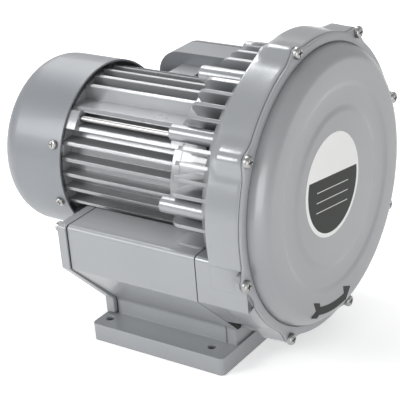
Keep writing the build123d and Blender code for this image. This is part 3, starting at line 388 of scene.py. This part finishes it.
for point in casing_ring.data.vertices:
    y, z = point.co.y, point.co.z - shaft_z
    if not block_bottom <= z <= block_top:
        continue
    if point.co.x < ring_rear_x + ring_edge + hair:
        point.co.x = block_step_x
    if hypot(y, z) < core_radius + hair:
        point.co.y = min(abs(y), block_side_y - core_inset) * (1 if y > 0 else -1)
    elif abs(y) > block_side_y:
        screw = min(boss_angles, key=lambda a: hypot(y - boss_circle * cos(a), z - boss_circle * sin(a)))
        off = boss_radius ** 2 - (z - boss_circle * sin(screw)) ** 2
        crown = abs(boss_circle * cos(screw)) + (sqrt(off) if off > 0.0 else -1.0)
        side = max(block_side_y, crown) if point.co.x > ear_rear_x else block_side_y
        point.co.y = min(abs(y), side) * (1 if y > 0 else -1)


def merged_copy(name, node):
    """A copy of a solid of the frame with its doubled vertices merged, selected and ready to shape."""
    copy = bpy.data.objects.new(name, nodes[node].data.copy())
    bpy.context.scene.collection.objects.link(copy)
    bpy.ops.object.select_all(action="DESELECT")
    copy.select_set(True)
    bpy.context.view_layer.objects.active = copy
    bpy.ops.object.mode_set(mode="EDIT")
    bpy.ops.mesh.select_all(action="SELECT")
    bpy.ops.mesh.remove_doubles(threshold=merge_distance)
    bpy.ops.object.mode_set(mode="OBJECT")
    bpy.ops.mesh.customdata_custom_splitnormals_clear()
    return copy


casing = merged_copy("casing", "pump_casing")
for point in casing.data.vertices:
    y, z = point.co.y, point.co.z - shaft_z
    around = hypot(y, z)
    if point.co.x > ring_rear_x - 2 * hair and around > core_radius:
        if block_bottom - hair <= z <= block_top + hair:
            point.co.y = min(abs(y), block_side_y - 3 * hair) * (1 if y > 0 else -1)
        else:
            point.co.y, point.co.z = y * core_radius / around, shaft_z + z * core_radius / around
    if point.co.x > chamber_front_x and around > front_land_radius:
        point.co.x = ring_front_x
casing_ring.select_set(True)
bpy.ops.object.join()
smooth(casing)
casing.data.materials.clear()
casing.data.materials.append(casing_enamel)
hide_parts("pump_casing")
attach(casing, "housing")


# ---- Front cover ------------------------------------------------------------------------------
# A dished aluminium casting in satin grey enamel, with a groove round its shoulder and two shallow
# steps in its face. A black fibre gasket seals it to the casing.
lip_rear_x = 0.1157
lip_front_x = 0.1180
lip_radius = 0.1184
lip_edge = 0.0005
groove_outer_radius = 0.1117
groove_floor_x = 0.1168
shoulder_x = 0.1246
shoulder_radius = 0.1087
shoulder_fall = [(0.0006, 0.1092), (0.0016, 0.1099), (0.0030, 0.1105), (0.0050, 0.1109)]
groove_width = 0.0005
face_x = 0.1310
face_radius = 0.0985
shoulder_steps = 10
step_depth = 0.0015
outer_step_radii = (0.0840, 0.0780)
inner_step_radii = (0.0660, 0.0590)
step_points = 6
recess_x = 0.1148
impeller_reach = 0.1083
channel_radii = (0.1070, 0.0730)
channel_depth = 0.0110
channel_steps = 10
pocket_radius = 0.0650
pocket_draft = 0.0005
pocket_x = 0.1238


def face_step(radii, x0, x1):
    """Points of a soft step in the cover's face, between two radii and two depths."""
    made = []
    for k in range(step_points + 1):
        t = k / step_points
        made.append((x0 + (x1 - x0) * t * t * (3 - 2 * t), radii[0] + (radii[1] - radii[0]) * t, 0.0))
    return made


cover_profile = face_step(inner_step_radii[::-1], face_x, face_x - step_depth)
cover_profile += face_step(outer_step_radii[::-1], face_x - step_depth, face_x)
for k in range(shoulder_steps + 1):
    t = k / shoulder_steps
    cover_profile.append((face_x - (face_x - shoulder_x) * t ** 2,
                          face_radius + (shoulder_radius - face_radius) * t, 0.0))
cover_profile += [(shoulder_x - fall, radius, 0.0) for fall, radius in shoulder_fall]
cover_profile += [
    (groove_floor_x, groove_outer_radius - groove_width, 0.0),
    (groove_floor_x, groove_outer_radius, 0.0),
    (lip_front_x - lip_edge, groove_outer_radius, 0.0),
    (lip_front_x, groove_outer_radius + lip_edge, 0.0),
    (lip_front_x, lip_radius - lip_edge, 1.0),
    (lip_front_x - edge_step * lip_edge, lip_radius - edge_step * lip_edge, 1.0),
    (lip_front_x - lip_edge, lip_radius, 1.0),
    (lip_rear_x, lip_radius, 1.0),
    (lip_rear_x, impeller_reach, 0.0),
]
for k in range(channel_steps + 1):
    t = k / channel_steps
    cover_profile.append((recess_x + channel_depth * sin(pi * t),
                          channel_radii[0] + (channel_radii[1] - channel_radii[0]) * t, 0.0))
cover_profile += [(recess_x, pocket_radius, 0.0), (pocket_x, pocket_radius - pocket_draft, 0.0)]
cover = turned_form("cover", cover_profile, hollow=False)
smooth(cover)
# The cover's colour carries painted shade in its groove, steps and other hollows.
cover_enamel = finish("cover_enamel", (0.335, 0.345, 0.36), metallic=0.15, coat=0.25, roughness=0.36,
                      roughness_spread=0.08, edge_radius=0.0007, grain_scale=1100.0, grain_height=0.12,
                      wave_height=0.1, soil_amount=0.06, hollow_depth=0.3)
cover.data.materials.append(cover_enamel)
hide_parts("front_cover")
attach(cover, "housing")

gasket_inset = 0.0007
gasket = turned_form("gasket", [
    (ring_front_x, impeller_reach, 0.0),
    (lip_rear_x, impeller_reach, 0.0),
    (lip_rear_x, lip_radius - gasket_inset, 1.0),
    (ring_front_x, lip_radius - gasket_inset, 1.0),
], hollow=True)
smooth(gasket)
black_fibre = finish("black_fibre", (0.02, 0.02, 0.022), roughness=0.8, grain_height=0.5)
gasket.data.materials.append(black_fibre)
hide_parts("cover_gasket")
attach(gasket, "housing")
dress(black_fibre, "base_front_gasket", "port_plate_gasket", "terminal_box_gasket")


# ---- Screws and bolts -------------------------------------------------------------------------
# Zinc-plated steel: pan heads with a cross recess round the cover, cowl and box, and socket heads
# on the long tie bolts and the base.
# The screws' colour carries strong painted shade in their recesses and where they meet the parts.
zinc_plate = finish("zinc_plate", (0.42, 0.42, 0.415), metallic=1.0, roughness=0.34, roughness_spread=0.15,
                    edge_radius=0.0004, grain_scale=2500.0, grain_height=0.15, soil_amount=0.3,
                    hollow_depth=0.75)
dress(zinc_plate, "cowl_screws", "lid_screws", "tie_bolts", "base_screws",
      "impeller_nut", "impeller_washer", "capacitor_clip")

# Two of the cover screws stand beside the duct block's flat sides, so the shanks end inside the ears.
shank_end_x = ear_rear_x + 0.0004
cover_screws = merged_copy("cover_screw_heads", "cover_screws")
for point in cover_screws.data.vertices:
    point.co.x = max(point.co.x, shank_end_x)
smooth(cover_screws)
cover_screws.data.materials.clear()
cover_screws.data.materials.append(zinc_plate)
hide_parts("cover_screws")
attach(cover_screws, "housing")


# ---- Impeller and shaft -----------------------------------------------------------------------
# The impeller is a bare aluminium casting turned on its faces. It is keyed to a ground steel shaft
# that runs in two deep-groove bearings behind a rubber lip seal.
cast_aluminium = finish("cast_aluminium", (0.72, 0.73, 0.74), metallic=1.0, roughness=0.42)
ground_steel = finish("ground_steel", (0.5, 0.5, 0.52), metallic=1.0, roughness=0.25, edge_radius=0.0003)
seal_rubber = finish("seal_rubber", (0.015, 0.015, 0.016), roughness=0.6)
dress(cast_aluminium, "impeller")
dress(ground_steel, "shaft", "impeller_key", "fan_clip", "wave_spring",
      "front_bearing_outer_ring", "front_bearing_inner_ring", "front_bearing_balls",
      "rear_bearing_outer_ring", "rear_bearing_inner_ring", "rear_bearing_balls")
dress(seal_rubber, "shaft_seal")


# ---- Motor ------------------------------------------------------------------------------------
# An aluminium frame with straight fins, sprayed after casting, so the enamel is rough between the
# fins and bright on their edges. Inside are the sheet stacks and the varnished copper windings.
# The frame's colour carries strong painted shade between the fins and in other hollows.
frame_enamel = finish("frame_enamel", (0.36, 0.37, 0.385), metallic=0.3, coat=0.5, roughness=0.3,
                      roughness_spread=0.2, edge_radius=0.0011, grain_scale=700.0, grain_height=0.4,
                      wave_height=0.35, soil_amount=0.18, hollow_depth=0.5)
sheet_stack = finish("sheet_stack", (0.09, 0.09, 0.1), metallic=0.7, roughness=0.5)
varnished_copper = finish("varnished_copper", (0.55, 0.22, 0.09), metallic=0.8, roughness=0.35)
dress(frame_enamel, "motor_frame", "rear_end_shield")
dress(sheet_stack, "stator_core", "rotor_core")
dress(varnished_copper, "stator_windings")


# ---- Fan and cowl -----------------------------------------------------------------------------
# The black moulded fan runs under a deep-drawn steel cowl, sprayed in smooth grey. Its back is a
# grille of punched slots.
# The cowl's colour carries light painted shade in its slots and hollows.
cowl_enamel = finish("cowl_enamel", (0.25, 0.262, 0.28), metallic=0.15, coat=0.15, roughness=0.42,
                     roughness_spread=0.08, edge_radius=0.0009, grain_scale=1300.0, grain_height=0.1,
                     wave_height=0.06, soil_amount=0.08, hollow_depth=0.25)
fan_plastic = finish("fan_plastic", (0.03, 0.03, 0.032), roughness=0.45)
dress(cowl_enamel, "fan_cowl")
dress(fan_plastic, "cooling_fan")


# ---- Silencer base ----------------------------------------------------------------------------
# A hollow aluminium casting with a foot, closed at the back by a plate with both ports. Each port
# leads through a sleeve of open-cell foam.
# The base's colour carries painted shade in its recesses and gaps.
base_enamel = finish("base_enamel", (0.35, 0.362, 0.377), metallic=0.15, coat=0.2, roughness=0.4,
                     roughness_spread=0.1, edge_radius=0.0014, grain_scale=900.0, grain_height=0.15,
                     wave_height=0.12, soil_amount=0.08, hollow_depth=0.3)
open_cell_foam = finish("open_cell_foam", (0.05, 0.05, 0.055), roughness=0.95, grain_scale=500.0,
                        grain_height=1.0)
dress(base_enamel, "base_body", "port_plate")
dress(open_cell_foam, "inlet_silencer", "outlet_silencer")


# ---- Terminal box -----------------------------------------------------------------------------
# A pressed steel box and lid in the cowl's enamel, on the motor's far side, with the starting
# capacitor, a terminal block and a black plastic gland.
black_plastic = finish("black_plastic", (0.02, 0.02, 0.022), roughness=0.4)
drawn_can = finish("drawn_can", (0.7, 0.7, 0.71), metallic=1.0, roughness=0.3)
dress(cowl_enamel, "terminal_box", "terminal_box_lid")
dress(black_plastic, "terminal_block", "cable_gland", "gland_nut")
dress(drawn_can, "capacitor")


# ---- Round label ------------------------------------------------------------------------------
# A printed vinyl disc stuck on the cover by hand, a little off the middle and a little turned. It
# is white above, with a dark field below that holds only ruled blank rows.
label_middle = Vector((-0.0085, 0.1465))
label_radius = 0.0413
label_turn = radians(-9.1)
label_thickness = 0.00025
label_edge = 0.00015
field_radius = 0.0380
field_top = 0.0083
row_heights = [-0.0015, -0.0095, -0.0175]
row_half_line = 0.00035
row_half_width = 0.0245
row_ink_loss = 0.75
label_white = (0.86, 0.86, 0.85, 1.0)
label_dark = (0.022, 0.025, 0.022, 1.0)
vinyl_specular = 0.2

bpy.ops.object.select_all(action="DESELECT")
bpy.ops.mesh.primitive_cylinder_add(
    vertices=128, radius=label_radius, depth=label_thickness,
    location=(face_x + label_thickness / 2, *label_middle), rotation=(0.0, pi / 2, 0.0),
)
label = bpy.context.object
label.name = "cover_label"
bpy.ops.object.transform_apply(location=True, rotation=True, scale=True)
bpy.ops.object.mode_set(mode="EDIT")
bpy.ops.mesh.select_all(action="DESELECT")
bpy.ops.object.mode_set(mode="OBJECT")
front_x = face_x + label_thickness
for edge in label.data.edges:
    edge.select = all(abs(label.data.vertices[v].co.x - front_x) < merge_distance for v in edge.vertices)
bpy.ops.object.mode_set(mode="EDIT")
bpy.ops.mesh.bevel(offset=label_edge, segments=2, affect="EDGES")
bpy.ops.object.mode_set(mode="OBJECT")

print_material, tree, shader = new_material("label_print")
coordinates = tree.nodes.new("ShaderNodeTexCoord").outputs["Object"]
axes = tree.nodes.new("ShaderNodeSeparateXYZ")
tree.links.new(coordinates, axes.inputs["Vector"])
across = math_node(tree, "SUBTRACT", axes.outputs["Y"], label_middle.x)
above = math_node(tree, "SUBTRACT", axes.outputs["Z"], label_middle.y)
u = math_node(tree, "ADD", math_node(tree, "MULTIPLY", across, cos(label_turn)),
              math_node(tree, "MULTIPLY", above, sin(label_turn)))
v = math_node(tree, "SUBTRACT", math_node(tree, "MULTIPLY", above, cos(label_turn)),
              math_node(tree, "MULTIPLY", across, sin(label_turn)))
distance = math_node(tree, "SQRT", math_node(tree, "ADD", math_node(tree, "POWER", u, 2.0),
                                             math_node(tree, "POWER", math_node(tree, "ABSOLUTE", v), 2.0)))
in_disc = math_node(tree, "LESS_THAN", distance, field_radius)
field = math_node(tree, "MULTIPLY", in_disc, math_node(tree, "LESS_THAN", v, field_top))
rows = 0.0
for height in row_heights:
    near = math_node(tree, "ABSOLUTE", math_node(tree, "SUBTRACT", v, height))
    rows = math_node(tree, "ADD", math_node(tree, "LESS_THAN", near, row_half_line), rows)
within = math_node(tree, "LESS_THAN", math_node(tree, "ABSOLUTE", u), row_half_width)
ruled = math_node(tree, "MULTIPLY", math_node(tree, "MULTIPLY", rows, within), row_ink_loss)
ink = math_node(tree, "MULTIPLY", field, math_node(tree, "SUBTRACT", 1.0, ruled))
colour = tree.nodes.new("ShaderNodeMix")
colour.data_type = "RGBA"
colour.inputs["A"].default_value = label_white
colour.inputs["B"].default_value = label_dark
tree.links.new(ink, colour.inputs["Factor"])
tree.links.new(colour.outputs["Result"], shader.inputs["Base Color"])
shader.inputs["Roughness"].default_value = 0.45
shader.inputs["Specular IOR Level"].default_value = vinyl_specular
label.data.materials.append(print_material)
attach(label, "housing")


# ---- Direction arrow --------------------------------------------------------------------------
# A cut vinyl arrow in dark grey, bent round the cover below the label. It shows which way the
# impeller turns.
arrow_thickness = 0.0002
arrow_inner_radius = 0.0938
arrow_outer_radius = 0.1003
arrow_tail_angle = radians(-112.0)
arrow_head_angle = radians(-88.2)
arrow_steps = 24
head_points = [(0.1012, -87.2), (0.0930, -81.6), (0.0868, -88.6)]
tail_inner_prong = [(0.0908, -113.2), (0.0908, -119.5), (0.0970, -115.6)]
tail_outer_prong = [(0.1029, -119.0), (0.1029, -113.6)]
vinyl_dark = (0.018, 0.020, 0.018)


def on_cover(radius, angle):
    """A point on the cover's face, by its radius and angle about the shaft."""
    return Vector((face_x, radius * cos(angle), shaft_z + radius * sin(angle)))


def arc(radius, start, end):
    """Points along the arrow's curved shaft."""
    return [on_cover(radius, start + (end - start) * k / arrow_steps) for k in range(arrow_steps + 1)]


outline = arc(arrow_outer_radius, arrow_tail_angle, arrow_head_angle)
outline += [on_cover(r, radians(a)) for r, a in head_points]
outline += arc(arrow_inner_radius, arrow_head_angle, arrow_tail_angle)
outline += [on_cover(r, radians(a)) for r, a in tail_inner_prong + tail_outer_prong]
bpy.ops.object.select_all(action="DESELECT")
bpy.ops.mesh.primitive_circle_add(vertices=len(outline), fill_type="NGON")
arrow = bpy.context.object
arrow.name = "direction_arrow"
for vertex, place in zip(arrow.data.vertices, outline):
    vertex.co = place
bpy.ops.object.mode_set(mode="EDIT")
bpy.ops.mesh.select_all(action="SELECT")
bpy.ops.mesh.quads_convert_to_tris(quad_method="BEAUTY", ngon_method="BEAUTY")
bpy.ops.mesh.extrude_region_move(TRANSFORM_OT_translate={"value": (arrow_thickness, 0.0, 0.0)})
bpy.ops.mesh.select_all(action="SELECT")
bpy.ops.mesh.normals_make_consistent(inside=False)
bpy.ops.object.mode_set(mode="OBJECT")
arrow_vinyl = finish("arrow_vinyl", vinyl_dark, roughness=0.4, grain_height=0.1, wave_height=0.02,
                     edge_radius=0.0001, hollow_depth=0.0)
arrow_vinyl.node_tree.nodes["Principled BSDF"].inputs["Specular IOR Level"].default_value = vinyl_specular
arrow.data.materials.append(arrow_vinyl)
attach(arrow, "housing")
